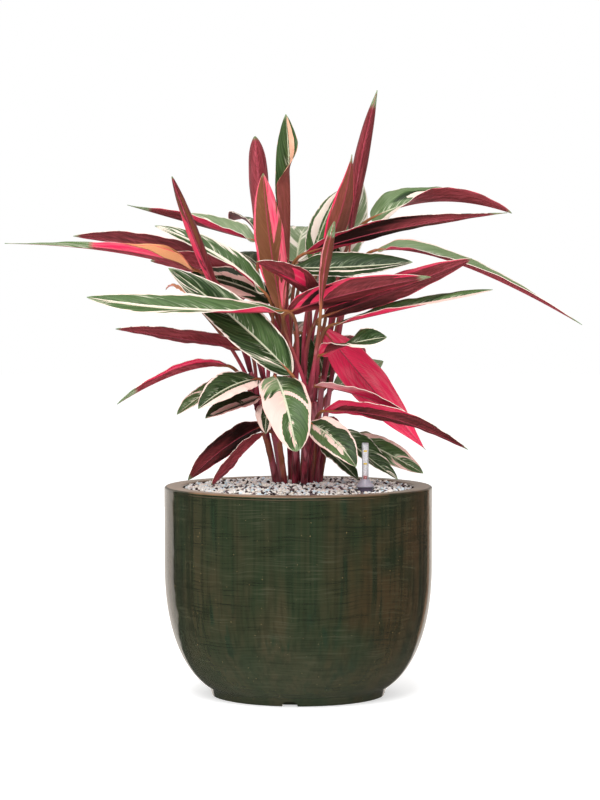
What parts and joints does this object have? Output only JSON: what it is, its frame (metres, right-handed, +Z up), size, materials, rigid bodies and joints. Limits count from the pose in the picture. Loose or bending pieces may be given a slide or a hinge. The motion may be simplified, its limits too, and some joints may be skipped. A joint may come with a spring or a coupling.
{
  "type": "potted stromanthe triostar",
  "caption": "Leafy prayer plant with long green, cream and pink blades on maroon stalks, in mineral granules with a water gauge in a round glazed pot.",
  "frame": {"origin": "middle of the pot's underside", "axes": "+Z up along the pot's axis, -Y towards the front of the plant"},
  "size_m": [0.6836, 0.4474, 0.7272],
  "materials": {
    "glaze": "gloss",
    "granules": "matte",
    "roots": "matte",
    "gauge_grey": "satin",
    "gauge_clear": "gloss",
    "gauge_indicator": "satin",
    "foliage": "satin"
  },
  "bodies": {
    "root": {"pot": "glaze", "granule_fill": "granules", "gravel_top": "granules", "root_ball": "roots", "gauge_body": "gauge_grey", "gauge_sight_tube": "gauge_clear", "shoot_left_outer": "foliage", "shoot_left_upper": "foliage", "shoot_left_front": "foliage", "shoot_left_lower": "foliage", "shoot_left_low": "foliage", "shoot_centre": "foliage", "shoot_centre_tall": "foliage", "shoot_front_centre": "foliage", "shoot_front_right": "foliage", "shoot_right_inner": "foliage", "shoot_right_tall": "foliage", "shoot_right_upper": "foliage", "shoot_right_low": "foliage", "shoot_back_right": "foliage", "shoot_back_left": "foliage", "shoot_rear_left": "foliage", "shoot_rear_right": "foliage"},
    "indicator": {"gauge_float": "gauge_indicator"}
  },
  "joints": [
    {"name": "float_rise", "type": "slide", "parent": "root", "child": "indicator", "axis": [0, 0, 1], "range_m": [0, 0.028]}
  ]
}
